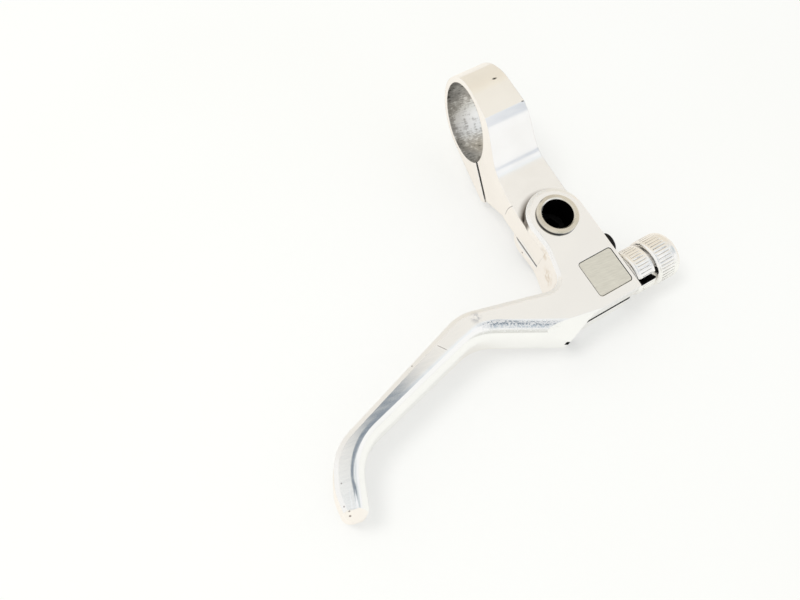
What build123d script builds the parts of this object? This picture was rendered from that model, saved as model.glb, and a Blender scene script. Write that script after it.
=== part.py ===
# Two-finger flat-bar brake lever for a right hand, machined from light alloy.
# Millimetres. Origin: centre of the handlebar bore, half way along the clamp.
# +X runs inboard along the handlebar, -Y is forward, +Z is up along the lever pivot.

import os
from math import cos, radians, sin

from build123d import *

# handlebar clamp
bar_diameter = 22.2
clamp_width = 11.4
clamp_wall = 1.5
slot_angle = 33.0          # clamp slot, below straight forward
slot_offset = 1.55         # slot line above the bar centre, square to the slot
slot_width = 1.5
jaw_reach = 19.0           # front end of the lower jaw
jaw_drop = 13.4            # underside of the lower jaw
jaw_corner = 1.6
jaw_root = 7.0             # where the jaw leaves the ring
shoulder_reach = 7.5       # flat over the ring
shoulder_end = 10.4
shoulder_drop = 1.3
slope_end = 18.4           # where the slope meets the top of the arm
slope_round = 8.0

# pinch bolt
bolt_radius = 2.0
bolt_head_radius = 3.5
bolt_head_height = 4.0
bolt_hex = 3.0
bolt_hex_depth = 2.0
bolt_place = 17.0          # along the clamp slot from the bar centre
bolt_seat_depth = 3.4      # from the slot to the washer seat
bolt_grip = 10.0           # length above the slot
bolt_clearance = 0.25
bore_room = 1.0
washer_radius = 3.9
washer_thickness = 0.6

# arm and tongue
tongue_thickness = 7.8
underside_start = 27.5     # where the underside turns down to the clamp
pivot_forward = 36.8
pivot_inboard = 2.3
pivot_boss_radius = 8.0
open_angle = 8.3           # tongue and open blade, turned from square to the bar
tongue_outboard = 7.4      # outboard wall, from the pivot
tongue_knee = 9.0          # where that wall turns back to the clamp, behind the pivot
tongue_nose = 9.9          # round end of that wall, about the pivot
tongue_gap = 0.6           # to the web of the blade
reach_face = 7.3           # inboard face at the reach screw
barrel_face = 9.1          # inboard face at the barrel
tongue_front = 24.5

# lever blade, drawn from its pivot and squared to its front edge
blade_thickness = 14.0
ear_gap = 0.3              # between an ear and the tongue
body_half_width = 8.0
body_front = 26.2
front_wall = 1.2
web_line = -2.2            # inner face that meets the reach screw
nose_clearance = 0.35      # round the nose of the tongue
front_turn = -7.0          # where the front edge leaves the body's front
front_corner = (-14.0, -28.6)
front_bend = (-34.7, -17.4)
outer_bend = (-72.5, -27.0)
tip_outer = (-77.7, -40.1)
tip_inner = (-82.9, -38.9)
inner_turn = (-82.2, -32.0)
inner_bend = (-78.0, -23.5)
inner_peak = (-36.5, -10.3)
finger_root = (-10.3, -16.9)
waist = (-7.6, -6.5)
bend_radius = 12.0
root_radius = 4.0
corner_radius = 0.8
finger_round = 4.0
nose_radius = 2.8          # tip seen from above
nose_round = 10.7          # tip seen from the side
edge_break = 0.5
facet_inboard = (-9.4, -25.2)
facet_outboard = (-14.5, -24.2)
facet_ridge = (-12.8, -30.2)
facet_length = 15.0
cable_slot_height = 2.2
cable_slot_start = -14.8
cable_slot_back = 17.5     # inner end of the slot, forward of the pivot
cable_leg = -10.6          # where the slot opens down to the underside
nipple_radius = 3.7
nipple_depth = 11.0
nipple_outboard = 7.5
badge_size = 10.2
badge_recess = 0.35
badge_inboard = 1.75
badge_forward = 18.65
badge_corner = 0.9

# hollow pivot
sleeve_radius = 5.0
sleeve_bore = 4.08
flange_radius = 5.5
flange_height = 1.2
flange_break = 0.35
pivot_fit = 0.03
bush_radius = 6.0
bush_flange_radius = 7.0
bush_flange = 0.8
bush_split = 0.4           # half the gap left between the two bushings
screw_reach = 7.0          # pivot screw, up inside the sleeve
screw_hex = 5.0
screw_hex_depth = 3.0

# barrel adjuster and lock ring
cable_forward = 20.5       # cable line, forward of the pivot
thread_radius = 3.0
thread_clearance = 0.05
thread_hold = 9.0          # thread inside the tongue
cable_bore = 1.1
cable_swing = 2.0          # room for the cable behind its line as the blade turns
housing_radius = 2.7
housing_depth = 4.5
ring_gap = 0.3
ring_length = 5.7
ring_radius = 5.9
ring_round = 0.8
ring_slot = 2.0
ring_slot_angle = 40.0     # above straight forward
head_gap = 0.6
head_length = 7.9
head_radius = 6.2
head_round = 2.4
barrel_slot_angle = -150.0

# reach adjuster
reach_forward = 11.1
reach_radius = 1.5
reach_head_radius = 2.75
reach_head_height = 2.2
reach_head_gap = 1.9       # screw stands out of its face, set part way
reach_head_room = 0.75     # beside its head
reach_hex = 2.5
reach_hex_depth = 1.5
reach_tip_gap = 1.9        # tip to the web of the blade

# worked-out places
bore_radius = bar_diameter / 2
ring_outer = bore_radius + clamp_wall
half_width = clamp_width / 2
tongue_half = tongue_thickness / 2
ear_inner = tongue_half + ear_gap
blade_half = blade_thickness / 2
pivot_x = pivot_inboard
pivot_y = -pivot_forward
shoulder_z = ring_outer - shoulder_drop
reach_notch = reach_forward + reach_head_radius + reach_head_room
tongue_left = web_line + tongue_gap
ring_start = barrel_face + ring_gap
head_start = ring_start + ring_length + head_gap
head_end = head_start + head_length
inboard = Vector(1, 0, 0)
up = Vector(0, 0, 1)
along_slot = Vector(0, -cos(radians(slot_angle)), -sin(radians(slot_angle)))
across_slot = Vector(0, -sin(radians(slot_angle)), cos(radians(slot_angle)))
in_blade = Pos(pivot_x, pivot_y, 0) * Rot(0, 0, open_angle)


def rounded(points, radii):
    # closed flat outline; radii pairs a corner with its radius
    face = make_face(Polyline(*points, close=True))
    for point, radius in radii:
        corner = face.vertices().sort_by_distance(point)[0]
        face = fillet(corner, radius)
    return face


def prism(face, low, high):
    return extrude(Pos(0, 0, low) * face, high - low)


def rod(start, axis, radius, length):
    return Solid.make_cylinder(radius, length, Plane(origin=start, z_dir=axis))


def hex_bar(start, axis, across, length):
    flat = RegularPolygon(across / 2, 6, major_radius=False)
    return extrude(Plane(origin=start, z_dir=axis) * flat, length)


def end_edges(part, axis, at):
    # round edges that lie at one place along an axis
    return part.edges().filter_by(GeomType.CIRCLE).filter_by_position(axis, at - 0.01, at + 0.01)


def bolt_point(offset):
    # a point on the pinch bolt, measured up from the clamp slot
    return along_slot * bolt_place + across_slot * (slot_offset + offset)


def side_profile():
    # the bracket seen from its outboard side, drawn as (y, z)
    front = pivot_y - 2 * body_front
    slot_run = (jaw_reach + across_slot.Y * slot_offset) / cos(radians(slot_angle))
    knee = along_slot.Z * slot_run + across_slot.Z * slot_offset
    shoulder = (-shoulder_end, shoulder_z)
    foot = (-slope_end, tongue_half)
    points = [(0, 0), (0, ring_outer), (-shoulder_reach, ring_outer), shoulder, foot,
              (front, tongue_half), (front, -tongue_half), (-underside_start, -tongue_half),
              (-jaw_reach, knee), (-jaw_reach, jaw_corner - jaw_drop),
              (jaw_corner - jaw_reach, -jaw_drop), (-jaw_root, -jaw_drop), (0, -ring_outer)]
    return rounded(points, [(shoulder, slope_round), (foot, slope_round)]) + Circle(ring_outer)


def tongue_outline():
    # the tongue seen from above, the pivot at (0, 0), squared to the open blade
    wall = Pos(-tongue_outboard, 0) * Rectangle(tongue_outboard, tongue_knee, align=Align.MIN)
    width = tongue_outboard + reach_face
    room = Pos(-tongue_outboard, -tongue_nose) * Rectangle(width, tongue_nose, align=Align.MIN)
    nose = Circle(tongue_nose) & room
    block = make_face(Polyline((tongue_left, 0), (reach_face, 0), (reach_face, -reach_notch),
                               (barrel_face, -reach_notch), (barrel_face, -tongue_front),
                               (tongue_left, -tongue_front), close=True))
    return wall + nose + block


def plan_outline():
    # the bracket seen from above, drawn as (x, y)
    knee = (in_blade * Pos(-tongue_outboard, tongue_knee)).position
    right = pivot_x + pivot_boss_radius
    # the inboard wall runs straight from behind the ring to the pivot
    back = 2 * ring_outer
    lean = (right - half_width) / pivot_forward
    arm = make_face(Polyline((-half_width, back), (half_width - lean * back, back), (right, pivot_y),
                             (pivot_x, pivot_y), (knee.X, knee.Y), (-half_width, -shoulder_reach),
                             close=True))
    return arm + in_blade * tongue_outline()


def make_bracket():
    # the outside is square to the open blade, the bore and the outboard face to the bar
    side_plane = Plane(origin=(-2 * clamp_width, 0, 0), x_dir=(0, 1, 0), z_dir=(1, 0, 0))
    square = Pos(-half_width, 0, 0) * Rot(0, 0, open_angle) * Pos(half_width, 0, 0)
    body = square * extrude(side_plane * side_profile(), 5 * clamp_width)
    body = body & prism(plan_outline(), -2 * ring_outer, 2 * ring_outer)
    body -= rod((-clamp_width, 0, 0), inboard, bore_radius, 2 * clamp_width)
    slot_plane = Plane(origin=across_slot * slot_offset, x_dir=along_slot, z_dir=inboard)
    slot = slot_plane * Pos(jaw_reach, 0) * Rectangle(2 * jaw_reach, slot_width)
    body -= extrude(slot, clamp_width, both=True)
    # pinch bolt: clear through the jaw, threaded into the arm
    seat = bolt_point(-bolt_seat_depth)
    body -= rod(seat, -across_slot, washer_radius + bolt_clearance, 3 * bolt_head_height)
    body -= rod(seat, across_slot, bolt_radius + bolt_clearance, bolt_seat_depth)
    body -= rod(bolt_point(0), across_slot, bolt_radius + thread_clearance, bolt_grip + bore_room)
    # seats of the pivot bushings
    body -= rod((pivot_x, pivot_y, -tongue_half), up, bush_radius, tongue_thickness)
    for side in (-1, 1):
        seat = Vector(pivot_x, pivot_y, side * (tongue_half - bush_flange))
        body -= rod(seat, up * side, bush_flange_radius, bush_flange)
    # barrel thread, with the cable way open to the front
    thread_end = (barrel_face - thread_hold - bore_room, -cable_forward, 0)
    thread_hole = rod(thread_end, inboard, thread_radius + thread_clearance, 2 * thread_hold)
    body -= in_blade * thread_hole
    way = Pos(barrel_face / 2, cable_swing - cable_forward - tongue_front / 2, 0)
    body -= in_blade * way * Box(2 * barrel_face, tongue_front, cable_slot_height)
    # reach screw
    way_start = (web_line - bore_room, -reach_forward, 0)
    screw_way = rod(way_start, inboard, reach_radius + thread_clearance, 2 * barrel_face)
    return body - in_blade * screw_way


def blade_outline():
    # the blade seen from above, its pivot at (0, 0)
    points = [(body_half_width, 0), (body_half_width, -body_front), (front_turn, -body_front),
              front_corner, front_bend, outer_bend, tip_outer, tip_inner, inner_turn, inner_bend, inner_peak,
              finger_root, waist, (-body_half_width, 0)]
    radii = [(front_bend, bend_radius), (outer_bend, bend_radius), (tip_inner, nose_radius),
             (inner_turn, bend_radius), (inner_bend, bend_radius), (inner_peak, bend_radius),
             (finger_root, root_radius), (waist, bend_radius)]
    return rounded(points, radii) + Circle(pivot_boss_radius)


def rim_edges(body, point):
    # the upper and the lower edge of the blade nearest to a point of its outline
    return [body.edges().sort_by_distance(point + up * side * blade_half)[0] for side in (-1, 1)]


def facet_cutter():
    # oblique facet where the upper finger round runs out into the body
    a = Vector(*facet_inboard, blade_half)
    b = Vector(*facet_outboard, blade_half)
    ridge = Vector(*facet_ridge, 0)
    face = Plane(origin=(a + b) / 2, x_dir=b - a, z_dir=(b - a).cross(ridge - a))
    return extrude(face * Rectangle(facet_length, 2 * blade_thickness), blade_thickness)


def tip_corner():
    # what the round of the outer tip corner leaves out, seen from above
    square = blade_outline()
    corner = square.vertices().sort_by_distance(tip_outer)[0]
    return square - fillet(corner, nose_radius)


def nose_cutter():
    # what the domed tip leaves out, seen from the side
    tip = (Vector(*tip_outer) + Vector(*tip_inner)) / 2
    across = Vector(*tip_outer) - Vector(*tip_inner)
    side_plane = Plane(origin=tip, x_dir=up.cross(across) * -1, z_dir=across)
    kept = Pos(-nose_round, 0) * Circle(nose_round)
    end = Rectangle(nose_round / 2, 2 * blade_thickness)
    return extrude(side_plane * (end - kept), blade_thickness, both=True)


def make_blade():
    body = prism(blade_outline(), -blade_half, blade_half)
    # big rounds along the finger side, broken edges everywhere else but the front
    finger_front = (Vector(*front_bend) + Vector(*outer_bend)) / 2
    finger_back = (Vector(*inner_peak) + Vector(*inner_bend)) / 2
    boss_end = Vector(0, pivot_boss_radius)
    body = fillet(rim_edges(body, finger_front), finger_round)
    body = chamfer(rim_edges(body, finger_back), edge_break)
    body = chamfer(rim_edges(body, boss_end), edge_break)
    # rounded tip and inboard corner
    body -= prism(tip_corner(), -blade_half, blade_half)
    body -= nose_cutter()
    corner_edge = body.edges().filter_by(Axis.Z).sort_by_distance(Vector(body_half_width, -body_front))[0]
    body = fillet(corner_edge, corner_radius)
    body -= facet_cutter()
    # fork for the tongue of the bracket
    fork_front = body_front - front_wall
    fork = Pos(web_line, -fork_front) * Rectangle(4 * body_half_width, fork_front, align=Align.MIN)
    fork += Circle(tongue_nose + nose_clearance)
    body -= prism(fork, -ear_inner, ear_inner)
    # cable slot along the front edge, open down to the underside beside the pocket
    front_room = Pos(cable_slot_start, -2 * body_front) * Rectangle(
        4 * body_half_width, 2 * body_front - cable_slot_back, align=Align.MIN)
    body -= prism(front_room, -cable_slot_height / 2, cable_slot_height / 2)
    leg = Pos(cable_leg, -body_front) * Rectangle(cable_slot_height, 2 * (body_front - cable_forward))
    body -= prism(leg, -blade_thickness, 0)
    # pocket for the cable end, open below
    body -= rod((-nipple_outboard, -cable_forward, -blade_half), up, nipple_radius, nipple_depth)
    # pivot hole and badge recess
    body -= rod((0, 0, -blade_half), up, sleeve_radius, blade_thickness)
    badge = Pos(badge_inboard, -badge_forward) * RectangleRounded(badge_size, badge_size, badge_corner)
    body -= prism(badge, blade_half - badge_recess, blade_half + badge_recess)
    return in_blade * body


def make_pivot_sleeve():
    body = rod((pivot_x, pivot_y, -blade_half), up, sleeve_radius, blade_thickness)
    body += rod((pivot_x, pivot_y, blade_half), up, flange_radius, flange_height)
    body -= rod((pivot_x, pivot_y, -blade_half), up, sleeve_bore, 2 * blade_thickness)
    return chamfer(end_edges(body, Axis.Z, blade_half + flange_height), flange_break)


def make_pivot_screw():
    body = rod((pivot_x, pivot_y, -blade_half - flange_height), up, flange_radius, flange_height)
    body += rod((pivot_x, pivot_y, -blade_half), up, sleeve_bore, screw_reach)
    body -= hex_bar((pivot_x, pivot_y, -blade_half - flange_height), up, screw_hex, screw_hex_depth)
    body -= hex_bar((pivot_x, pivot_y, screw_reach - blade_half), -up, screw_hex, screw_hex_depth)
    return chamfer(end_edges(body, Axis.Z, -blade_half - flange_height), flange_break)


def make_bushing(side):
    length = tongue_half - bush_split
    body = rod(Vector(pivot_x, pivot_y, side * bush_split), up * side, bush_radius, length)
    seat = Vector(pivot_x, pivot_y, side * (tongue_half - bush_flange))
    body += rod(seat, up * side, bush_flange_radius, bush_flange)
    return body - rod((pivot_x, pivot_y, -tongue_half), up, sleeve_radius + pivot_fit, tongue_thickness)


def make_clamp_bolt():
    under_head = bolt_point(-bolt_seat_depth - washer_thickness)
    body = rod(under_head, across_slot, bolt_radius, washer_thickness + bolt_seat_depth + bolt_grip)
    body += rod(under_head, -across_slot, bolt_head_radius, bolt_head_height)
    socket = under_head - across_slot * bolt_head_height
    return body - hex_bar(socket, across_slot, bolt_hex, bolt_hex_depth)


def make_clamp_washer():
    top = bolt_point(-bolt_seat_depth)
    body = rod(top, -across_slot, washer_radius, washer_thickness)
    return body - rod(top, -across_slot, bolt_radius + thread_clearance, washer_thickness)


def radial_slot(angle, start, length, depth):
    # slot from the cable line outwards; angle is measured up from straight forward
    blade = Pos(0, -depth / 2, 0) * Box(length, depth, ring_slot)
    return Pos(start + length / 2, -cable_forward, 0) * Rot(-angle, 0, 0) * blade


def make_lock_ring():
    body = rod((ring_start, -cable_forward, 0), inboard, ring_radius, ring_length)
    body = fillet(body.edges().filter_by(GeomType.CIRCLE), ring_round)
    body -= rod((ring_start, -cable_forward, 0), inboard, thread_radius + thread_clearance, ring_length)
    return in_blade * (body - radial_slot(ring_slot_angle, ring_start, ring_length, 2 * ring_radius))


def make_barrel_adjuster():
    thread_start = barrel_face - thread_hold
    head = rod((head_start, -cable_forward, 0), inboard, head_radius, head_length)
    head = fillet(end_edges(head, Axis.X, head_end), head_round)
    head = fillet(end_edges(head, Axis.X, head_start), ring_round)
    body = head + rod((thread_start, -cable_forward, 0), inboard, thread_radius, head_start - thread_start)
    body -= rod((thread_start, -cable_forward, 0), inboard, cable_bore, head_end - thread_start)
    body -= rod((head_end - housing_depth, -cable_forward, 0), inboard, housing_radius, housing_depth)
    slot = radial_slot(barrel_slot_angle, thread_start, head_end - thread_start, 2 * head_radius)
    return in_blade * (body - slot)


def make_reach_screw():
    # the tip stops short of the blade's web by the set gap
    tip = web_line + reach_tip_gap
    head = reach_face + reach_head_gap
    body = rod((tip, -reach_forward, 0), inboard, reach_radius, head - tip)
    body += rod((head, -reach_forward, 0), inboard, reach_head_radius, reach_head_height)
    body -= hex_bar((head + reach_head_height, -reach_forward, 0), -inboard, reach_hex, reach_hex_depth)
    return in_blade * body


parts = {
    "bracket": make_bracket(),
    "clamp_bolt": make_clamp_bolt(),
    "clamp_washer": make_clamp_washer(),
    "lever_blade": make_blade(),
    "pivot_sleeve": make_pivot_sleeve(),
    "pivot_screw": make_pivot_screw(),
    "upper_pivot_bushing": make_bushing(1),
    "lower_pivot_bushing": make_bushing(-1),
    "barrel_adjuster": make_barrel_adjuster(),
    "lock_ring": make_lock_ring(),
    "reach_screw": make_reach_screw(),
}

os.makedirs("parts", exist_ok=True)
for name, part in parts.items():
    export_step(part, "parts/" + name + ".step")
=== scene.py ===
import math
import bmesh
import bpy
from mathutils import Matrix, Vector


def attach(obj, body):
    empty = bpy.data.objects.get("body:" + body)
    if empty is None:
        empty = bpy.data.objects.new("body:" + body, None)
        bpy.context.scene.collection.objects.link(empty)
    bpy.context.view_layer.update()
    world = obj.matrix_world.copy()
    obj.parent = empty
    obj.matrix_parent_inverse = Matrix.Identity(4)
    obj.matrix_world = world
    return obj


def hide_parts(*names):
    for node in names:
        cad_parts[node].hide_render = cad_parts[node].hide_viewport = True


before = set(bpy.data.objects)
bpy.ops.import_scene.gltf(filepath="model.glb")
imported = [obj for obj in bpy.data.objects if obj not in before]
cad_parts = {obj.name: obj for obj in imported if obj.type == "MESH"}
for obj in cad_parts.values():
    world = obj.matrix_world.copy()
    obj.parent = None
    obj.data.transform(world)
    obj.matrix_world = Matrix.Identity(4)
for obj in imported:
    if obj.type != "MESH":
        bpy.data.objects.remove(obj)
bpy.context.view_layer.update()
scene = bpy.context.scene
scene.view_settings.view_transform = "Standard"
mm = 0.001
print("frame loaded:", len(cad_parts), "nodes")

lever = {                                   # places shared by several pieces, in mm
    "pivot": (2.3, -36.8),
    "turn": math.radians(8.3),              # open blade, from square to the bar
    "cableForward": 20.5,
    "halfHeight": 7.0,
    "bore": 11.1,
}
turnCos, turnSin = math.cos(lever["turn"]), math.sin(lever["turn"])
inboardAxis = (turnCos, turnSin, 0.0)       # along the cable
aheadAxis = (turnSin, -turnCos, 0.0)        # from the pivot to the blade's front
upAxis = (0.0, 0.0, 1.0)


def inBlade(x, y, z=0.0):                   # blade millimetres to frame metres
    px, py = lever["pivot"]
    return Vector((px + x * turnCos - y * turnSin, py + x * turnSin + y * turnCos, z)) * mm


def toBlade(x, y):                          # a direction of the frame, seen from the blade
    return x * turnCos + y * turnSin, y * turnCos - x * turnSin


def cadNode(name):
    return bpy.data.objects[name]


# node helpers

def addNode(tree, kind, settings=None, inputs=None):
    node = tree.nodes.new(kind)
    for key, value in (settings or {}).items():
        setattr(node, key, value)
    for key, value in (inputs or {}).items():
        socket = node.inputs[key]
        if isinstance(value, bpy.types.NodeSocket):
            tree.links.new(value, socket)
        else:
            socket.default_value = value
    return node


def rgba(color):
    return (*color, 1.0)


def calc(tree, operation, a, b=0.0):
    return addNode(tree, "ShaderNodeMath", {"operation": operation}, {0: a, 1: b}).outputs[0]


def times(tree, first, *others):
    for other in others:
        first = calc(tree, "MULTIPLY", first, other)
    return first


def addShare(tree, value, mask, amount):
    return calc(tree, "ADD", value, times(tree, mask, amount))


def combine(tree, operation, a, b):
    return addNode(tree, "ShaderNodeVectorMath", {"operation": operation}, {0: a, 1: b}).outputs


def length(tree, vector):
    return addNode(tree, "ShaderNodeVectorMath", {"operation": "LENGTH"}, {0: vector}).outputs["Value"]


def splitAxes(tree, vector):
    return addNode(tree, "ShaderNodeSeparateXYZ", {}, {0: vector}).outputs


def blend(tree, factor, a, b):
    node = addNode(tree, "ShaderNodeMix", {"data_type": "RGBA", "blend_type": "MIX"}, {0: factor})
    for index, value in ((6, a), (7, b)):   # the colour sockets
        if isinstance(value, bpy.types.NodeSocket):
            tree.links.new(value, node.inputs[index])
        else:
            node.inputs[index].default_value = rgba(value)
    return node.outputs[2]


def ease(tree, value, low, high, start=0.0, end=1.0):
    node = addNode(tree, "ShaderNodeMapRange", {"interpolation_type": "SMOOTHSTEP"}, {
        "Value": value, "From Min": low, "From Max": high, "To Min": start, "To Max": end})
    return node.outputs["Result"]


def fade(tree, value, off, on, full=1.0):   # 0 at off and full at on, both in mm
    return ease(tree, value, off * mm, on * mm, 0.0, full)


def grain(tree, coords, scale, detail=4.0, rough=0.55, stretch=(1, 1, 1), turn=0.0):
    mapping = addNode(tree, "ShaderNodeMapping", {}, {
        "Vector": coords, "Scale": stretch, "Rotation": (0, 0, turn)})
    noise = addNode(tree, "ShaderNodeTexNoise", {}, {
        "Vector": mapping.outputs[0], "Scale": scale, "Detail": detail, "Roughness": rough})
    return noise.outputs[0]


def spot(tree, coords, place, radius, soft=0.5, stretch=(1, 1, 1), ragged=0.0):     # 1 in a small ball, in mm
    moved = combine(tree, "SUBTRACT", coords, [v * mm for v in place])[0]
    far = length(tree, combine(tree, "MULTIPLY", moved, stretch)[0])
    if ragged:
        wander = calc(tree, "SUBTRACT", grain(tree, coords, 1500.0, 3.0), 0.5)
        far = addShare(tree, far, wander, ragged * radius * mm)
    return fade(tree, far, radius * (1 + soft), radius * (1 - soft))


def along(tree, coords, place, axis):       # distance of a point along an axis from a place
    moved = combine(tree, "SUBTRACT", coords, place)[0]
    return combine(tree, "DOT_PRODUCT", moved, axis)["Value"]


def axisRadius(tree, coords, place, axis):  # distance of a point from an axis
    moved = combine(tree, "SUBTRACT", coords, place)[0]
    return length(tree, combine(tree, "CROSS_PRODUCT", moved, axis)[0])


def startMaterial(name, metallic, rough=0.3):
    mat = bpy.data.materials.new(name)
    mat.use_nodes = True
    tree = mat.node_tree
    shader = tree.nodes["Principled BSDF"]
    shader.inputs["Metallic"].default_value = metallic
    shader.inputs["Roughness"].default_value = rough
    coords = addNode(tree, "ShaderNodeTexCoord").outputs["Object"]
    return mat, tree, shader, coords


def feed(tree, shader, name, value):
    tree.links.new(value, shader.inputs[name])


def addBump(tree, shader, height, strength, worn=0.0):      # worn: width of the softened edges, in mm
    bump = addNode(tree, "ShaderNodeBump", {}, {
        "Height": height, "Strength": strength, "Distance": 0.02 * mm})
    if worn:
        edge = addNode(tree, "ShaderNodeBevel", {"samples": 6}, {"Radius": worn * mm})
        tree.links.new(edge.outputs[0], bump.inputs["Normal"])
    feed(tree, shader, "Normal", bump.outputs[0])


def brushed(tree, shader, coords, look):    # clouded metal with fine lines
    cloud = grain(tree, coords, look["cloud"], 3.0)
    streak = grain(tree, coords, look["fine"], 5.0, 0.6, look["stretch"], look["lean"])
    color = blend(tree, ease(tree, cloud, 0.35, 0.7), look["light"], look["dull"])
    scratch = ease(tree, streak, 0.62, 0.8, 0.0, look["scratch"])
    color = blend(tree, scratch, color, look["scratchColor"])
    addBump(tree, shader, streak, look["bump"], look.get("worn", 0.0))
    return color, ease(tree, streak, 0.3, 0.75, *look["rough"])


# bracket

bracketLook = {                             # in mm; pairs say where a mark is gone and where it is full
    "light": (0.955, 0.95, 0.94), "dull": (0.92, 0.913, 0.90), "cloud": 90.0,
    "fine": 240.0, "stretch": (1.0, 9.0, 9.0), "lean": 0.0, "rough": (0.15, 0.21),
    "bump": 0.012, "worn": 0.22,
    "scratch": 0.10, "scratchColor": (0.82, 0.80, 0.78),
    "nicks": (((2.0, 3.0, 12.45), 0.27, (0.45, 1.0, 1.0)), ((5.95, -5.9, 12.58), 0.17, (0.5, 1.2, 1.0))),
    "nickColor": (0.10, 0.09, 0.08),
    # painted shade on the arm round the foot of the blade's boss
    "bossShadeReach": (9.9, 7.7), "bossShadeAbove": (3.4, 3.7), "bossShadeColor": (0.17, 0.145, 0.12),
}
wallLine = {                                # thin bowed line where the arm's wall turns towards the tongue
    "forward": 28.42, "middle": -0.5, "bow": 45.0, "width": (0.13, 0.04), "strength": 0.75,
    "low": (-2.4, -1.2), "high": (4.3, 4.0), "wall": (-5.9, -6.2),
}
boreLook = {
    # the dark colour is painted shade inside the bore
    "dark": (0.11, 0.11, 0.10), "grey": (0.52, 0.51, 0.49), "bright": (0.95, 0.95, 0.94),
    "skin": (0.12, 0.04), "boreHighlight": (1.2, 6.0, -9.4), "boreHighlightSize": 6.0, "boreHighlightLift": 0.16,   # painted highlight inside the bore
    "greyLevel": (0.38, 0.52), "brightLevel": (0.54, 0.66), "rough": 0.14,
}


def drawWallLine(tree, coords):
    spec = wallLine
    x, y, z = splitAxes(tree, coords)
    lift = calc(tree, "SUBTRACT", z, spec["middle"] * mm)
    ahead = calc(tree, "ADD", y, times(tree, lift, lift, spec["bow"]))
    off = calc(tree, "ABSOLUTE", calc(tree, "ADD", ahead, spec["forward"] * mm))
    return times(tree, fade(tree, off, *spec["width"], spec["strength"]), fade(tree, z, *spec["low"]),
                 fade(tree, x, *spec["wall"]), fade(tree, z, *spec["high"]))


def shadeAndScuffBore(tree, coords):                # bore painted dark as shade, with bright patches that are partly worn metal and partly painted reflection, and a painted highlight
    spec = boreLook
    radius = axisRadius(tree, coords, (0, 0, 0), (1, 0, 0))
    inside = fade(tree, radius, *(lever["bore"] + skin for skin in spec["skin"]))
    patches = grain(tree, coords, 520.0, 6.0, 0.65, (1.0, 0.6, 0.6))
    # bright streaks, partly worn metal and partly painted reflection
    wearAndSheen = grain(tree, coords, 1500.0, 6.0, 0.7, (0.35, 1.4, 1.4), 0.4)
    # painted highlight: a bright spot inside the bore
    boreHighlight = spot(tree, coords, spec["boreHighlight"], spec["boreHighlightSize"], 0.7)
    level = addShare(tree, times(tree, patches, 0.45), wearAndSheen, 0.55)
    level = addShare(tree, level, boreHighlight, spec["boreHighlightLift"])
    color = blend(tree, ease(tree, level, *spec["greyLevel"]), spec["dark"], spec["grey"])
    return inside, blend(tree, ease(tree, level, *spec["brightLevel"]), color, spec["bright"])


def makeBracketAlloy():
    look = bracketLook
    mat, tree, shader, coords = startMaterial("bracketAlloy", 1.0)
    color, rough = brushed(tree, shader, coords, look)
    for place, radius, stretch in look["nicks"]:
        color = blend(tree, spot(tree, coords, place, radius, 0.6, stretch, 0.9), color, look["nickColor"])
    # painted shade: the arm's top darkened in a ring round the boss
    fromPivot = axisRadius(tree, coords, inBlade(0, 0), upAxis)
    bossShade = times(tree, fade(tree, fromPivot, *look["bossShadeReach"], 0.95),
                  fade(tree, splitAxes(tree, coords)[2], *look["bossShadeAbove"]))
    color = blend(tree, bossShade, color, look["bossShadeColor"])
    color = blend(tree, drawWallLine(tree, coords), color, look["nickColor"])
    inside, boreColor = shadeAndScuffBore(tree, coords)
    feed(tree, shader, "Base Color", blend(tree, inside, color, boreColor))
    feed(tree, shader, "Roughness", addShare(tree, rough, inside, boreLook["rough"]))
    return mat


# lever blade

bladeLook = {                               # in mm; nicks, tan patches and smudge are places with their radius
    "light": (0.955, 0.95, 0.942), "dull": (0.93, 0.927, 0.922), "cloud": 60.0,
    "fine": 300.0, "stretch": (1.0, 7.0, 7.0), "lean": -0.25, "rough": (0.10, 0.15),
    "bump": 0.010, "worn": 0.15,
    "scratch": 0.08, "scratchColor": (0.82, 0.81, 0.81),
    "nicks": (((-73.6, -83.8, 6.8), 0.18), ((-72.9, -85.0, 6.6), 0.22), ((-73.0, -85.9, 5.3), 0.28),
              ((-72.7, -87.2, 1.4), 0.20), ((-73.4, -84.9, 5.9), 0.14), ((-47.7, -60.1, 6.8), 0.17),
              ((-46.6, -59.6, 6.9), 0.10), ((-5.4, -38.9, -5.4), 0.22), ((-72.4, -79.0, 7.0), 0.10)),
    "nickColor": (0.16, 0.12, 0.11),
    "smudge": ((-28.8, -54.7, 7.0), 1.1), "smudgeColor": (0.62, 0.63, 0.66),
    "tanPatches": (((-4.4, -44.6, 4.2), 1.4), ((-4.8, -49.4, 0.8), 2.0)), "tanPatchColor": (0.70, 0.62, 0.52),
    # the slot colour is painted shade in the cable slot
    "slotShadeColor": (0.008, 0.008, 0.008), "seamColor": (0.07, 0.062, 0.052),
    # the wall colour is painted shade on the boss wall beside the arm
    "backWallShadeColor": (0.11, 0.092, 0.075),
}
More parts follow.
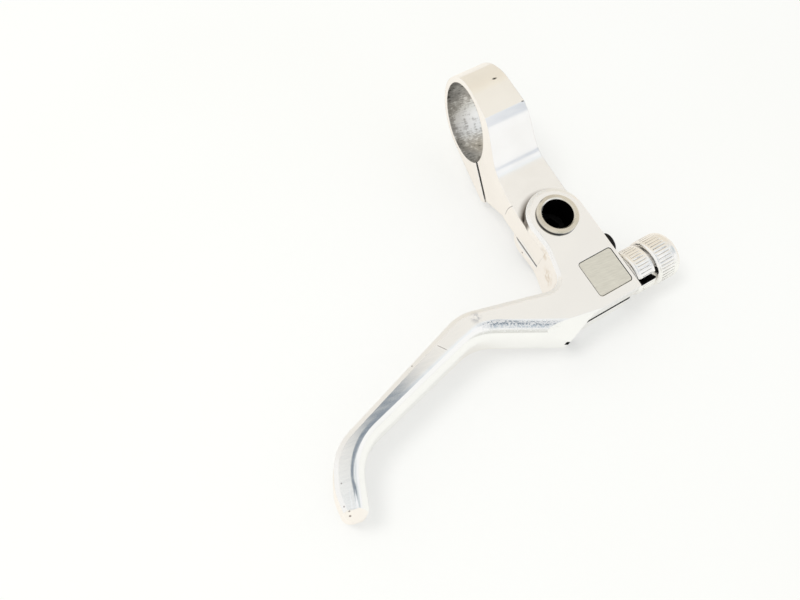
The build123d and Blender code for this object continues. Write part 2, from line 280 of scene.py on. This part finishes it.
bladeMarks = {                              # pairs say where a mark is gone and where it is full, in mm
    "hairline": {"place": (-39.4, -58.6, 7.0), "side": (0.73, 0.68, 0.0), "half": 1.1, "width": (0.12, 0.03)},
    "slot": {"half": (1.16, 1.10), "ahead": (17.3, 17.6), "inboard": (-14.95, -14.75)},
    "slotLeg": {"inboard": -10.6, "half": (1.16, 1.09), "below": (0.4, 0.1), "ahead": (20.0, 20.4)},
    "seam": {"half": (5.16, 5.12), "below": (6.99, 6.97), "above": (6.4, 6.6)},
    "backWall": {"radius": (7.90, 7.96), "toward": (-0.95, 0.31, 0.0), "reach": (2.8, 5.8),
                 "behind": (-0.2, -1.8), "below": (6.55, 6.40), "above": (3.6, 4.0)},
    "frost": {"corner": (-14.0, -28.6), "toward": (-0.9395, 0.344, 0.0), "start": (3.0, 4.0),
              "end": (25.0, 21.0), "below": (6.995, 6.96), "above": (5.6, 6.1)},
    "filed": {"back": (0.12, 0.25), "up": (0.3, 0.5)},         # by the way a face looks
}


def scratchFinger(tree, coords):            # hairline across the finger
    spec = bladeMarks["hairline"]
    off = calc(tree, "ABSOLUTE", along(tree, coords, [v * mm for v in spec["place"]], spec["side"]))
    near = spot(tree, coords, spec["place"], spec["half"], 0.3)
    return times(tree, fade(tree, off, *spec["width"], 0.7), near)


def shadeSlot(tree, coords, height, ahead, inboard):       # painted shade inside the cable slot and its leg
    slot, leg = bladeMarks["slot"], bladeMarks["slotLeg"]
    level = fade(tree, calc(tree, "ABSOLUTE", height), *slot["half"])
    run = times(tree, level, fade(tree, ahead, *slot["ahead"]), fade(tree, inboard, *slot["inboard"]))
    off = calc(tree, "ABSOLUTE", along(tree, coords, inBlade(leg["inboard"], 0), inboardAxis))
    drop = times(tree, fade(tree, off, *leg["half"]), fade(tree, height, *leg["below"]),
                 fade(tree, ahead, *leg["ahead"]))
    return calc(tree, "MAXIMUM", run, drop)


def drawSeam(tree, height, ahead, inboard):                 # round the badge panel
    spec = bladeMarks["seam"]
    sideways = calc(tree, "ABSOLUTE", calc(tree, "SUBTRACT", inboard, badgePiece["inboard"] * mm))
    lengthways = calc(tree, "ABSOLUTE", calc(tree, "SUBTRACT", ahead, badgePiece["forward"] * mm))
    return times(tree, fade(tree, calc(tree, "MAXIMUM", sideways, lengthways), *spec["half"]),
                 fade(tree, height, *spec["below"]), fade(tree, height, *spec["above"]))


def shadeBackWall(tree, coords, height, ahead):              # painted shade on the wall of the boss, beside the arm
    spec = bladeMarks["backWall"]
    pivot = inBlade(0, 0)
    return times(tree, fade(tree, axisRadius(tree, coords, pivot, upAxis), *spec["radius"]),
                 fade(tree, along(tree, coords, pivot, spec["toward"]), *spec["reach"]),
                 fade(tree, ahead, *spec["behind"]), fade(tree, height, *spec["below"]),
                 fade(tree, height, *spec["above"]))


def frostFront(tree, coords, height):                       # scuffs along the front round of the body
    spec = bladeMarks["frost"]
    run = along(tree, coords, inBlade(*spec["corner"]), spec["toward"])
    return times(tree, fade(tree, run, *spec["start"]), fade(tree, run, *spec["end"]),
                 fade(tree, height, *spec["above"]), fade(tree, height, *spec["below"]),
                 ease(tree, grain(tree, coords, 1900.0, 3.0), 0.46, 0.58))


def findFiledEdge(tree):                                    # broken back edge, made dull
    spec = bladeMarks["filed"]
    facing = splitAxes(tree, addNode(tree, "ShaderNodeNewGeometry").outputs["True Normal"])
    return times(tree, ease(tree, facing[1], *spec["back"]), ease(tree, facing[2], *spec["up"]))


def makeBladeAlloy():
    look = bladeLook
    mat, tree, shader, coords = startMaterial("bladeAlloy", 1.0)
    color, rough = brushed(tree, shader, coords, look)
    for place, radius in look["nicks"]:
        color = blend(tree, spot(tree, coords, place, radius, ragged=2.2), color, look["nickColor"])
    mottle = ease(tree, grain(tree, coords, 700.0, 4.0), 0.4, 0.6)
    smudge = times(tree, spot(tree, coords, *look["smudge"], 0.8), mottle)
    color = blend(tree, smudge, color, look["smudgeColor"])
    # tan patches on the left wall, blended in with the mottle
    for place, radius in look["tanPatches"]:
        tanPatch = times(tree, spot(tree, coords, place, radius, 0.8, ragged=1.0), mottle, 0.7)
        color = blend(tree, tanPatch, color, look["tanPatchColor"])
    color = blend(tree, scratchFinger(tree, coords), color, look["nickColor"])
    height = splitAxes(tree, coords)[2]
    ahead = along(tree, coords, inBlade(0, 0), aheadAxis)
    inboard = along(tree, coords, inBlade(0, 0), inboardAxis)
    slot = shadeSlot(tree, coords, height, ahead, inboard)
    # the cable slot painted near black as shade
    color = blend(tree, slot, color, look["slotShadeColor"])
    color = blend(tree, drawSeam(tree, height, ahead, inboard), color, look["seamColor"])
    # painted shade on the boss wall beside the arm
    color = blend(tree, shadeBackWall(tree, coords, height, ahead), color, look["backWallShadeColor"])
    for mask, amount in ((frostFront(tree, coords, height), 0.30), (findFiledEdge(tree), 0.45), (slot, 0.5)):
        rough = addShare(tree, rough, mask, amount)
    feed(tree, shader, "Base Color", color)
    feed(tree, shader, "Roughness", rough)
    return mat


# lock ring and barrel share their recipe

adjusterLook = {
    "light": (0.955, 0.945, 0.93), "dull": (0.90, 0.885, 0.86), "cloud": 260.0,
    "fine": 900.0, "stretch": (1.0, 3.0, 3.0), "lean": 0.14, "rough": (0.18, 0.28), "bump": 0.03,
    "scratch": 0.15, "scratchColor": (0.66, 0.61, 0.55),
    # the groove colour is painted shade in the knurl grooves
    "grooveShadeColor": (0.20, 0.165, 0.135), "grooveTop": (-0.06, -0.22), "grooveFoot": (-0.60, -0.45),
    # the thread colour is painted shade for the slot and the thread, with grease on the thread
    "threadGreaseAndShadeColor": (0.010, 0.010, 0.010), "threadRadius": (3.25, 3.12), "threadEnd": (15.1, 14.9),
    "slotHalf": (1.06, 1.02), "slotReach": (2.0, 2.6),
}
ringLook = {"name": "ringAlloy", "crest": 5.9, "band": (10.7, 13.9), "slotAngle": math.radians(40.0)}
barrelLook = {"name": "barrelAlloy", "crest": 6.2, "band": (16.7, 20.6), "slotAngle": math.radians(-150.0)}


def makeAdjusterAlloy(part):
    look = adjusterLook
    mat, tree, shader, coords = startMaterial(part["name"], 1.0)
    color, rough = brushed(tree, shader, coords, look)
    place = inBlade(0, -lever["cableForward"])
    radius = axisRadius(tree, coords, place, inboardAxis)
    reach = along(tree, coords, place, inboardAxis)
    start, end = part["band"]
    groove = times(tree, fade(tree, radius, *(part["crest"] + depth for depth in look["grooveTop"])),
                   fade(tree, radius, *(part["crest"] + depth for depth in look["grooveFoot"])),
                   fade(tree, reach, start, start + 0.1), fade(tree, reach, end, end - 0.1))
    # painted shade in the knurl grooves
    color = blend(tree, groove, color, look["grooveShadeColor"])
    thread = times(tree, fade(tree, radius, *look["threadRadius"]), fade(tree, reach, *look["threadEnd"]))
    slotCos, slotSin = math.cos(part["slotAngle"]), math.sin(part["slotAngle"])
    across = (slotSin * -turnSin, slotSin * turnCos, slotCos)
    outward = (slotCos * turnSin, slotCos * -turnCos, slotSin)
    off = calc(tree, "ABSOLUTE", along(tree, coords, place, across))
    slot = times(tree, fade(tree, off, *look["slotHalf"]),
                 fade(tree, along(tree, coords, place, outward), *look["slotReach"]))
    # slot and thread painted near black: painted shade, with grease on the thread
    dark = calc(tree, "MAXIMUM", thread, slot)
    feed(tree, shader, "Base Color", blend(tree, dark, color, look["threadGreaseAndShadeColor"]))
    feed(tree, shader, "Roughness", addShare(tree, rough, dark, 0.4))
    return mat


# small steel parts

pivotLook = {                               # in mm
    "light": (0.72, 0.675, 0.58), "dull": (0.60, 0.555, 0.475), "cloud": 300.0,
    "fine": 1100.0, "stretch": (1.0, 1.0, 4.0), "lean": 0.0, "rough": (0.22, 0.32), "bump": 0.03,
    "scratch": 0.20, "scratchColor": (0.36, 0.33, 0.29),
    # the rim colour is a painted highlight on the sleeve's inner rim, on one side
    "rimHighlightColor": (0.93, 0.92, 0.90), "rimHighlight": (4.55, 4.35),
    "rimHighlightToward": (-0.35, 0.94, 0.0), "rimHighlightReach": (1.6, 3.2),
    # the side colour is painted shade on the flange's side wall
    "sideShadeColor": (0.03, 0.027, 0.024), "side": (5.43, 5.48), "sideBelow": (7.62, 7.44),
    # the hole colour is painted shade in the sleeve's bore
    "holeColor": (0.004, 0.004, 0.004), "hole": (4.17, 4.09),
}


def makePivotSteel():
    look = pivotLook
    mat, tree, shader, coords = startMaterial("pivotSteel", 1.0)
    color, rough = brushed(tree, shader, coords, look)
    pivot = inBlade(0, 0)
    radius = axisRadius(tree, coords, pivot, upAxis)
    # painted highlight on the inner rim, on one side
    rimHighlight = times(tree, fade(tree, radius, *look["rimHighlight"]),
                fade(tree, along(tree, coords, pivot, look["rimHighlightToward"]), *look["rimHighlightReach"]))
    color = blend(tree, rimHighlight, color, look["rimHighlightColor"])
    # painted shade: the flange's side wall near black
    side = times(tree, fade(tree, radius, *look["side"]),
                 fade(tree, splitAxes(tree, coords)[2], *look["sideBelow"]))
    color = blend(tree, side, color, look["sideShadeColor"])
    # the bore of the sleeve painted near black as shade
    hole = fade(tree, radius, *look["hole"])
    feed(tree, shader, "Base Color", blend(tree, hole, color, look["holeColor"]))
    feed(tree, shader, "Roughness", addShare(tree, rough, hole, 0.5))
    return mat


plainLooks = {
    "screwBlack": {"light": (0.01, 0.01, 0.011), "dull": (0.02, 0.019, 0.019), "metal": 0.85, "rough": 0.55},
    "boltSteel": {"light": (0.62, 0.62, 0.63), "dull": (0.48, 0.48, 0.49), "metal": 1.0, "rough": 0.32},
    "bushingBronze": {"light": (0.66, 0.49, 0.27), "dull": (0.52, 0.38, 0.21), "metal": 1.0, "rough": 0.38},
}


def makePlainMetal(name):
    look = plainLooks[name]
    mat, tree, shader, coords = startMaterial(name, look["metal"])
    cloud = grain(tree, coords, 420.0, 5.0)
    color = blend(tree, ease(tree, cloud, 0.35, 0.65), look["light"], look["dull"])
    feed(tree, shader, "Base Color", color)
    feed(tree, shader, "Roughness", ease(tree, cloud, 0.3, 0.7, look["rough"] - 0.08, look["rough"] + 0.1))
    return mat


# badge panel, plain

badgePiece = {                              # in mm
    "side": 9.85, "corner": 0.75, "low": 6.66, "high": 6.95, "edge": 0.05, "inboard": 1.75, "forward": 18.65,
    "steps": 8,
}
badgeLook = {"light": (0.76, 0.735, 0.655), "dull": (0.67, 0.645, 0.575), "rough": (0.38, 0.52)}


def makeBadgeSatin():
    look = badgeLook
    mat, tree, shader, coords = startMaterial("badgeSatin", 0.55)
    lines = grain(tree, coords, 500.0, 3.0, 0.5, (1.0, 14.0, 1.0), 0.6)
    cloud = grain(tree, coords, 350.0, 2.0)
    color = blend(tree, ease(tree, lines, 0.3, 0.7), look["light"], look["dull"])
    color = blend(tree, ease(tree, cloud, 0.55, 0.75, 0.0, 0.35), color, look["light"])
    feed(tree, shader, "Base Color", color)
    feed(tree, shader, "Roughness", ease(tree, lines, 0.3, 0.7, *look["rough"]))
    addBump(tree, shader, lines, 0.08)
    return mat


bladeAlloy = makeBladeAlloy()
ringAlloy = makeAdjusterAlloy(ringLook)
barrelAlloy = makeAdjusterAlloy(barrelLook)
badgeSatin = makeBadgeSatin()
screwBlack, boltSteel, bushingBronze = (makePlainMetal(name) for name in plainLooks)
nodeMaterials = {
    "bracket": makeBracketAlloy(), "lever_blade": bladeAlloy, "pivot_sleeve": makePivotSteel(),
    "pivot_screw": screwBlack, "reach_screw": screwBlack, "clamp_bolt": boltSteel, "clamp_washer": boltSteel,
    "upper_pivot_bushing": bushingBronze, "lower_pivot_bushing": bushingBronze,
    "barrel_adjuster": barrelAlloy, "lock_ring": ringAlloy,
}
for nodeName, nodeMaterial in nodeMaterials.items():
    nodeMesh = cadNode(nodeName).data
    nodeMesh.materials.clear()
    nodeMesh.materials.append(nodeMaterial)
print("materials set on", len(nodeMaterials), "nodes")


# pieces

def smoothMesh(mesh, crease):               # edges sharper than the crease, in degrees, stay sharp
    for polygon in mesh.polygons:
        polygon.use_smooth = True
    mesh.set_sharp_from_angle(angle=math.radians(crease))


def keepMesh(name, mesh, material, body, replaced=None):
    mesh.name = name
    mesh.materials.clear()
    mesh.materials.append(material)
    piece = bpy.data.objects.new(name, mesh)
    scene.collection.objects.link(piece)
    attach(piece, body)
    if replaced:
        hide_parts(replaced)
    print(name, "done:", len(mesh.polygons), "faces")


def mergedCopy(nodeName):
    mesh = cadNode(nodeName).data.copy()
    work = bmesh.new()
    work.from_mesh(mesh)
    bmesh.ops.remove_doubles(work, verts=work.verts, dist=0.001 * mm)
    work.to_mesh(mesh)
    work.free()
    return mesh


fluteInputs = {
    "Geometry": "NodeSocketGeometry", "Flutes": "NodeSocketInt", "Flute Circle": "NodeSocketFloat",
    "Flute Size": "NodeSocketFloat", "Flute Length": "NodeSocketFloat", "Flute Middle": "NodeSocketVector",
    "Grooves": "NodeSocketInt", "Groove Circle": "NodeSocketFloat", "Groove Size": "NodeSocketFloat",
    "Groove Pitch": "NodeSocketFloat", "Groove Start": "NodeSocketVector", "Turn": "NodeSocketVector",
    "Material": "NodeSocketMaterial",
}


def makeFluteTree():                        # straight flutes and thread grooves, cut round Z and then turned
    tree = bpy.data.node_groups.new("cutFlutes", "GeometryNodeTree")
    for name, kind in fluteInputs.items():
        tree.interface.new_socket(name=name, in_out="INPUT", socket_type=kind)
    tree.interface.new_socket(name="Geometry", in_out="OUTPUT", socket_type="NodeSocketGeometry")
    given = tree.nodes.new("NodeGroupInput").outputs
    circle = addNode(tree, "GeometryNodeMeshCircle", {}, {
        "Vertices": given["Flutes"], "Radius": given["Flute Circle"]})
    cutter = addNode(tree, "GeometryNodeMeshCylinder", {}, {
        "Vertices": 4, "Radius": given["Flute Size"], "Depth": given["Flute Length"]})
    spoke = addNode(tree, "FunctionNodeAlignRotationToVector", {"axis": "X"}, {
        "Vector": addNode(tree, "GeometryNodeInputPosition").outputs[0]})
    ringOfCutters = addNode(tree, "GeometryNodeInstanceOnPoints", {}, {
        "Points": circle.outputs[0], "Instance": cutter.outputs[0], "Rotation": spoke.outputs[0]})
    flutes = addNode(tree, "GeometryNodeTransform", {}, {
        "Geometry": ringOfCutters.outputs[0],
        "Translation": given["Flute Middle"], "Rotation": given["Turn"]})
    hoop = addNode(tree, "GeometryNodeCurvePrimitiveCircle", {}, {
        "Resolution": 48, "Radius": given["Groove Circle"]})
    profile = addNode(tree, "GeometryNodeCurvePrimitiveCircle", {}, {
        "Resolution": 4, "Radius": given["Groove Size"]})
    groove = addNode(tree, "GeometryNodeCurveToMesh", {}, {
        "Curve": hoop.outputs[0], "Profile Curve": profile.outputs[0]})
    pitch = addNode(tree, "ShaderNodeCombineXYZ", {}, {"Z": given["Groove Pitch"]})
    row = addNode(tree, "GeometryNodeMeshLine", {"mode": "OFFSET"}, {
        "Count": given["Grooves"], "Offset": pitch.outputs[0]})
    rowOfGrooves = addNode(tree, "GeometryNodeInstanceOnPoints", {}, {
        "Points": row.outputs[0], "Instance": groove.outputs[0]})
    grooves = addNode(tree, "GeometryNodeTransform", {}, {
        "Geometry": rowOfGrooves.outputs[0],
        "Translation": given["Groove Start"], "Rotation": given["Turn"]})
    tools = addNode(tree, "GeometryNodeJoinGeometry")
    tree.links.new(flutes.outputs[0], tools.inputs[0])
    tree.links.new(grooves.outputs[0], tools.inputs[0])
    solidTools = addNode(tree, "GeometryNodeRealizeInstances", {}, {"Geometry": tools.outputs[0]})
    cut = addNode(tree, "GeometryNodeMeshBoolean", {"operation": "DIFFERENCE", "solver": "EXACT"}, {
        "Mesh 1": given["Geometry"], "Mesh 2": solidTools.outputs[0]})
    whole = addNode(tree, "GeometryNodeRealizeInstances", {}, {"Geometry": cut.outputs[0]})
    painted = addNode(tree, "GeometryNodeSetMaterial", {}, {
        "Geometry": whole.outputs[0], "Material": given["Material"]})
    done = tree.nodes.new("NodeGroupOutput")
    tree.links.new(painted.outputs[0], done.inputs[0])
    return tree


fluteTree = makeFluteTree()


def cutFlutes(nodeName, settings):
    maker = bpy.data.objects.new(nodeName + "Maker", mergedCopy(nodeName))
    scene.collection.objects.link(maker)
    modifier = maker.modifiers.new("flutes", "NODES")
    modifier.node_group = fluteTree
    for item in fluteTree.interface.items_tree:
        if item.in_out == "INPUT" and item.name in settings:
            modifier[item.identifier] = settings[item.name]
    bpy.context.view_layer.update()
    mesh = bpy.data.meshes.new_from_object(maker.evaluated_get(bpy.context.evaluated_depsgraph_get()))
    maker.modifiers.remove(modifier)
    bpy.data.objects.remove(maker)
    smoothMesh(mesh, 32)
    return mesh


def onCable(inboard):
    return inBlade(inboard, -lever["cableForward"])


cableTurn = (0.0, math.pi / 2, lever["turn"])
ringPiece = {
    "Flutes": 38, "Flute Circle": 6.04 * mm, "Flute Size": 0.32 * mm, "Flute Length": 3.2 * mm,
    "Flute Middle": onCable(12.3), "Turn": cableTurn, "Material": ringAlloy,
    "Grooves": 0, "Groove Circle": 3.4 * mm, "Groove Size": 0.2 * mm, "Groove Pitch": 1.0 * mm,
    "Groove Start": onCable(10.0),
}
keepMesh("knurledLockRing", cutFlutes("lock_ring", ringPiece), ringAlloy,
         "lock_ring_body", "lock_ring")

barrelPiece = {
    "Flutes": 40, "Flute Circle": 6.34 * mm, "Flute Size": 0.32 * mm, "Flute Length": 3.9 * mm,
    "Flute Middle": onCable(18.65), "Turn": cableTurn, "Material": barrelAlloy,
    "Grooves": 15, "Groove Circle": 3.10 * mm, "Groove Size": 0.40 * mm, "Groove Pitch": 1.0 * mm,
    "Groove Start": onCable(0.9),
}
keepMesh("knurledBarrel", cutFlutes("barrel_adjuster", barrelPiece), barrelAlloy,
         "barrel_body", "barrel_adjuster")

fingerPiece = {                             # the finger's flat runs on to a crest over its front round, in mm
    "round": 4.0, "crest": 1.55, "lean": 0.5,          # lean: sine of the slope below the crest
    "start": -31.0, "full": -38.5,          # where the crest comes out of the body
    "front": (0.6, -0.8), "facing": 0.05, "crease": 20,
    "tipFrom": -34.0, "tipEdge": (-72.5, -27.0), "tipInward": (-0.9295, 0.369),       # front edge at the tip
}


def crestHeight(z):                         # new height of a point on the round
    spec = fingerPiece
    drop = lever["halfHeight"] - z
    run = math.sqrt(max(0.0, spec["round"] ** 2 - (spec["round"] - drop) ** 2))
    if run <= spec["crest"]:
        return lever["halfHeight"]
    share = (run - spec["crest"]) / (spec["round"] - spec["crest"])
    lean = spec["lean"] + (1 - spec["lean"]) * share
    rise = math.sqrt(max(0.0, 1 - lean * lean) / (1 - spec["lean"] ** 2))
    return lever["halfHeight"] - spec["round"] * (1 - rise)


def crestShare(vert):                       # how far a point takes part, 0 off the front round of the finger
    spec = fingerPiece
    x, y = toBlade(vert.co.x / mm - lever["pivot"][0], vert.co.y / mm - lever["pivot"][1])
    lowest = lever["halfHeight"] - spec["round"]
    if x > spec["start"] or not lowest < abs(vert.co.z) / mm < lever["halfHeight"]:
        return 0.0
    if Vector(toBlade(vert.normal.x, vert.normal.y)).dot(spec["front"]) < spec["facing"]:
        return 0.0
    fromEdge = Vector((x, y)) - Vector(spec["tipEdge"])
    if y < spec["tipFrom"] and fromEdge.dot(spec["tipInward"]) > spec["round"]:       # back edge at the nose
        return 0.0
    share = min(1.0, (spec["start"] - x) / (spec["start"] - spec["full"]))
    return share * share * (3 - 2 * share)


def cornerNormals(mesh):                    # normals of each face's corners, by the places of its points
    found = {}
    for polygon in mesh.polygons:
        places = [tuple(mesh.vertices[mesh.loops[i].vertex_index].co) for i in polygon.loop_indices]
        for place, i in zip(places, polygon.loop_indices):
            found[frozenset(places), place] = mesh.corner_normals[i].vector.copy()
    return found


def makeBlade():
    mesh = mergedCopy("lever_blade")
    work = bmesh.new()
    work.from_mesh(mesh)
    work.normal_update()
    corners = [[tuple(loop.vert.co) for loop in face.loops] for face in work.faces]
    shares = {vert.index: crestShare(vert) for vert in work.verts}
    moved = {index for index, share in shares.items() if share > 0}
    for vert in work.verts:
        if vert.index in moved:
            high = abs(vert.co.z) / mm
            high += shares[vert.index] * (crestHeight(high) - high)
            vert.co.z = math.copysign(high * mm, vert.co.z)
    work.to_mesh(mesh)
    work.free()
    print("finger crest:", len(moved), "points lifted")
    if "custom_normal" in mesh.attributes:
        mesh.attributes.remove(mesh.attributes["custom_normal"])
    smoothMesh(mesh, fingerPiece["crease"])
    normals = [item.vector.copy() for item in mesh.corner_normals]
    given = cornerNormals(cadNode("lever_blade").data)
    for polygon, places in zip(mesh.polygons, corners):       # only the lifted faces get new normals
        if moved.isdisjoint(polygon.vertices):
            for i, place in zip(polygon.loop_indices, places):
                normals[i] = given.get((frozenset(places), place), normals[i])
    mesh.normals_split_custom_set(normals)
    return mesh


keepMesh("crestedBlade", makeBlade(), bladeAlloy, "lever_body", "lever_blade")


def makeBadge():
    spec = badgePiece
    outline = []
    half = spec["side"] / 2
    for quarter, (sx, sy) in enumerate(((1, 1), (-1, 1), (-1, -1), (1, -1))):
        for step in range(spec["steps"] + 1):
            angle = math.pi / 2 * (quarter + step / spec["steps"])
            outline.append((sx * (half - spec["corner"]) + spec["corner"] * math.cos(angle),
                            sy * (half - spec["corner"]) + spec["corner"] * math.sin(angle)))
    work = bmesh.new()
    rings = []
    for z, inset in ((spec["low"], 0.0), (spec["high"] - spec["edge"], 0.0), (spec["high"], spec["edge"])):
        shrink = 1 - inset / half
        rings.append([work.verts.new(inBlade(spec["inboard"] + x * shrink, -spec["forward"] + y * shrink, z))
                      for x, y in outline])
    for low, high in zip(rings, rings[1:]):
        for i in range(len(outline)):
            j = (i + 1) % len(outline)
            work.faces.new((low[i], low[j], high[j], high[i]))
    work.faces.new(rings[-1])
    work.faces.new(list(reversed(rings[0])))
    bmesh.ops.recalc_face_normals(work, faces=work.faces)
    mesh = bpy.data.meshes.new("badgePanel")
    work.to_mesh(mesh)
    work.free()
    smoothMesh(mesh, 32)
    return mesh


keepMesh("badgePanel", makeBadge(), badgeSatin, "lever_body")


# stage

floorSpec = {
    "normal": (-0.0495, 0.1824, 0.982),     # bolt head, body corner and tip lie on it
    "touch": (0.37, -13.66, -16.60),        # its middle, in mm
    "radius": 0.9, "color": (0.985, 0.985, 0.975), "shade": (0.975, 0.973, 0.955),
    "mirrored": (1.0, 0.95, 0.885), "mirroredFront": (1.0, 1.0, 0.97),    # tints of the paper seen in metal
    "warmBehind": (-52.0, -40.0), "warmLeft": (66.0, 71.0),
    "plainShare": 0.45,                     # part of the paper seen without its shadows
}


def makeFloor():
    spec = floorSpec
    mesh = bpy.data.meshes.new("paleFloor")
    work = bmesh.new()
    bmesh.ops.create_circle(work, cap_ends=True, segments=96, radius=spec["radius"])
    work.to_mesh(mesh)
    work.free()
    obj = bpy.data.objects.new("paleFloor", mesh)
    scene.collection.objects.link(obj)
    obj.rotation_mode = "QUATERNION"
    obj.rotation_quaternion = Vector(spec["normal"]).to_track_quat("Z", "Y")
    obj.location = [v * mm for v in spec["touch"]]
    mat, tree, shader, coords = startMaterial("palePaper", 0.0, 1.0)
    shader.inputs["Specular IOR Level"].default_value = 0.0
    color = blend(tree, ease(tree, grain(tree, coords, 6.0, 2.0), 0.4, 0.75), spec["color"], spec["shade"])
    rays = addNode(tree, "ShaderNodeLightPath").outputs
    unturn = obj.rotation_quaternion.inverted()
    behind = along(tree, coords, (0, 0, 0), unturn @ Vector((0, 1, 0)))
    left = along(tree, coords, (0, 0, 0), unturn @ Vector((-1, 0, 0)))
    warm = calc(tree, "MAXIMUM", fade(tree, behind, *spec["warmBehind"]), fade(tree, left, *spec["warmLeft"]))
    tint = blend(tree, warm, spec["mirroredFront"], spec["mirrored"])
    color = blend(tree, rays["Is Glossy Ray"], color, tint)
    feed(tree, shader, "Base Color", color)
    paper = addNode(tree, "ShaderNodeEmission", {}, {"Color": color, "Strength": 1.0})
    viewed = calc(tree, "MAXIMUM", rays["Is Glossy Ray"], rays["Is Transmission Ray"])
    viewed = calc(tree, "MAXIMUM", rays["Is Camera Ray"], viewed)
    both = addNode(tree, "ShaderNodeMixShader", {}, {
        0: times(tree, viewed, spec["plainShare"]), 1: shader.outputs[0], 2: paper.outputs[0]})
    tree.links.new(both.outputs[0], tree.nodes["Material Output"].inputs["Surface"])
    mesh.materials.append(mat)


makeFloor()

skySpec = {
    "open": 0.80,                           # light on matt surfaces
    "openColor": (0.985, 1.0, 0.97),
    "stops": ((0.0, (0.74, 0.745, 0.70)), (0.06, (0.76, 0.765, 0.72)), (0.11, (1.0, 1.0, 0.985)),
              (0.25, (1.0, 1.0, 0.995)), (0.45, (0.98, 0.985, 0.99)), (0.525, (0.93, 0.965, 0.985)),
              (0.60, (0.91, 0.885, 0.83)), (0.70, (0.915, 0.885, 0.83)), (0.76, (0.925, 0.865, 0.75)),
              (0.85, (0.87, 0.80, 0.68)), (1.0, (0.86, 0.80, 0.69))),       # front to back
    "leftColor": (0.97, 0.965, 0.95), "leftFrom": (-0.10, -0.40),
    "patches": (                            # place, size, lean, softness and colour of each oval
        ((0.60, -0.31), (0.13, 0.10), 0.0, 0.35, (0.66, 0.70, 0.76)),
        ((0.06, -0.46), (0.18, 0.25), 0.0, 0.8, (0.54, 0.60, 0.65)),
        ((0.165, -0.12), (0.055, 0.42), 0.0, 0.35, (0.23, 0.275, 0.325)),
        ((0.215, 0.06), (0.045, 0.21), -0.42, 0.35, (0.23, 0.275, 0.325)),
        ((0.86, -0.06), (0.22, 0.22), 0.0, 0.6, (0.62, 0.68, 0.70)),
    ),
    "patchAbove": (0.2, 0.4),
}


def patch(tree, axes, place, size, lean, soft):      # 1 inside an oval of sky, seen from below
    up = calc(tree, "SUBTRACT", axes[1], place[1])
    across = calc(tree, "SUBTRACT", calc(tree, "SUBTRACT", axes[0], place[0]), times(tree, up, lean))
    dx = calc(tree, "DIVIDE", across, size[0])
    dy = calc(tree, "DIVIDE", up, size[1])
    span = calc(tree, "ADD", times(tree, dx, dx), times(tree, dy, dy))
    return times(tree, ease(tree, span, 1 - soft, 1 + soft, 1.0, 0.0),
                 ease(tree, axes[2], *skySpec["patchAbove"]))


def makeSky():
    spec = skySpec
    world = bpy.data.worlds.new("studioSky")
    scene.world = world
    world.use_nodes = True
    tree = world.node_tree
    tree.nodes.clear()
    axes = splitAxes(tree, addNode(tree, "ShaderNodeTexCoord").outputs["Generated"])
    ramp = addNode(tree, "ShaderNodeValToRGB", {}, {0: times(tree, calc(tree, "ADD", axes[1], 1.0), 0.5)})
    stops = ramp.color_ramp.elements
    while len(stops) < len(spec["stops"]):
        stops.new(0.5)
    for element, (place, color) in zip(stops, spec["stops"]):
        element.position = place
        element.color = rgba(color)
    seen = blend(tree, ease(tree, axes[0], *spec["leftFrom"]), ramp.outputs[0], spec["leftColor"])
    for place, size, lean, soft, color in spec["patches"]:
        seen = blend(tree, patch(tree, axes, place, size, lean, soft), seen, color)
    rays = addNode(tree, "ShaderNodeLightPath").outputs
    openSky = addNode(tree, "ShaderNodeBackground", {}, {
        "Color": rgba(spec["openColor"]), "Strength": spec["open"]})
    mirrored = addNode(tree, "ShaderNodeBackground", {}, {"Color": seen, "Strength": 1.0})
    white = addNode(tree, "ShaderNodeBackground", {}, {"Color": (1, 1, 1, 1), "Strength": 1.0})
    lit = addNode(tree, "ShaderNodeMixShader", {}, {
        0: rays["Is Glossy Ray"], 1: openSky.outputs[0], 2: mirrored.outputs[0]})
    plainView = calc(tree, "MAXIMUM", rays["Is Camera Ray"], rays["Is Transmission Ray"])
    sky = addNode(tree, "ShaderNodeMixShader", {}, {0: plainView, 1: lit.outputs[0], 2: white.outputs[0]})
    addNode(tree, "ShaderNodeOutputWorld", {}, {0: sky.outputs[0]})


makeSky()

lampSpec = {
    "aim": (-0.022, -0.045, 0.0), "toward": (-0.40, 0.22, 0.89), "distance": 0.75,
    "size": 0.30, "power": 1.45, "color": (1.0, 0.985, 0.96),
}


def makeLamp():
    spec = lampSpec
    data = bpy.data.lights.new("softWindow", "AREA")
    data.shape = "DISK"
    data.size = spec["size"]
    data.energy = spec["power"]
    data.color = spec["color"]
    lamp = bpy.data.objects.new("softWindow", data)
    scene.collection.objects.link(lamp)
    toward = Vector(spec["toward"]).normalized()
    lamp.location = Vector(spec["aim"]) + toward * spec["distance"]
    lamp.rotation_euler = toward.to_track_quat("Z", "Y").to_euler()
    lamp.visible_glossy = False


makeLamp()

shotSpec = {                                # turn in degrees
    "place": (-0.08650, -0.10243, 0.18263), "turn": (21.692, -5.435, -22.660), "lens": 36.0, "sensor": 36.0,
}


def makeCamera():
    data = bpy.data.cameras.new("photoCamera")
    data.lens = shotSpec["lens"]
    data.sensor_width = shotSpec["sensor"]
    data.clip_start = 0.01
    camera = bpy.data.objects.new("photoCamera", data)
    camera.location = shotSpec["place"]
    camera.rotation_euler = [math.radians(angle) for angle in shotSpec["turn"]]
    scene.collection.objects.link(camera)
    scene.camera = camera


makeCamera()
print("stage, light and camera set")
